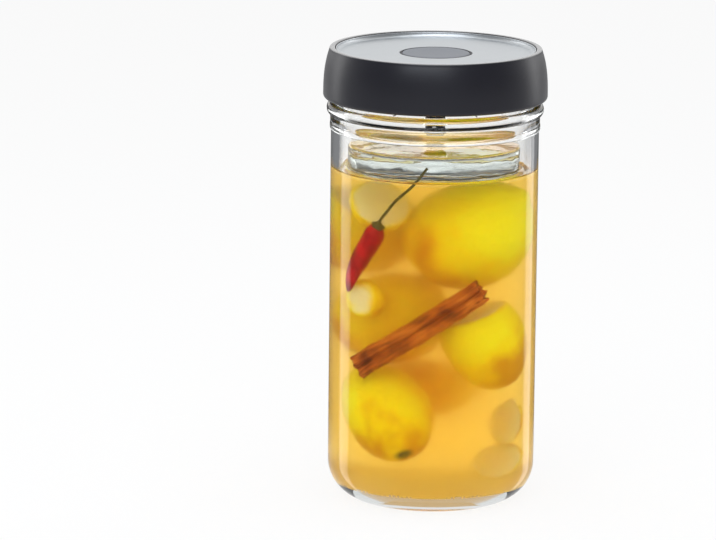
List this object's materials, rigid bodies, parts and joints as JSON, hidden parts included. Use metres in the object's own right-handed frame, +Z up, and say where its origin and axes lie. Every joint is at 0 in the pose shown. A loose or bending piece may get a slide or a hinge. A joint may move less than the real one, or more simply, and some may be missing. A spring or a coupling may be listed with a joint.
{
  "type": "fermentation jar",
  "caption": "Straight glass fermentation jar with a knobbed glass weight inside and a two-piece screw lid with a push-button vent valve.",
  "frame": {"origin": "middle of the jar's foot, on the surface it stands on", "axes": "+Z up along the jar's axis, -Y towards the front of the picture, +X to its right"},
  "size_m": [0.11, 0.11, 0.2251],
  "materials": {
    "clear_glass": "clear, fire polished",
    "black_plastic": "satin moulded",
    "satin_steel": "satin",
    "silicone": "matt moulded",
    "grey_plastic": "satin moulded",
    "white_plastic": "moulded",
    "spring_steel": "drawn wire"
  },
  "bodies": {
    "jar": {"jar": "clear_glass"},
    "weight": {"glass_weight": "clear_glass"},
    "lid": {"inner_lid": "black_plastic", "trim_disc": "satin_steel", "lid_gasket": "silicone", "valve_cage": "black_plastic", "valve_spring": "spring_steel"},
    "band": {"screw_band": "black_plastic"},
    "valve": {"valve_button": "grey_plastic", "valve_stem": "white_plastic", "valve_seal": "silicone"}
  },
  "joints": [
    {"name": "lid_lift", "type": "slide", "parent": "jar", "child": "lid", "axis": [0, 0, 1], "range_m": [0, 0.0721]},
    {"name": "band_turn", "type": "hinge", "parent": "lid", "child": "band", "pos_m": [0, 0, 0.2001], "axis": [0, 0, 1], "range_deg": [0, 1080]},
    {"name": "weight_lift", "type": "slide", "parent": "jar", "child": "weight", "axis": [0, 0, 1], "range_m": [0, 0.0601]},
    {"name": "valve_press", "type": "slide", "parent": "lid", "child": "valve", "axis": [0, 0, -1], "range_m": [0, 0.002], "stiffness_N_per_m": 600, "springref_m": -0.001, "deforming": ["valve_spring"]}
  ],
  "couplings": [
    {"joint": "lid_lift", "follows": "band_turn", "m_per_rad": 0.0038197},
    {"joint": "weight_lift", "follows": "band_turn", "m_per_rad": 0.0031831}
  ]
}
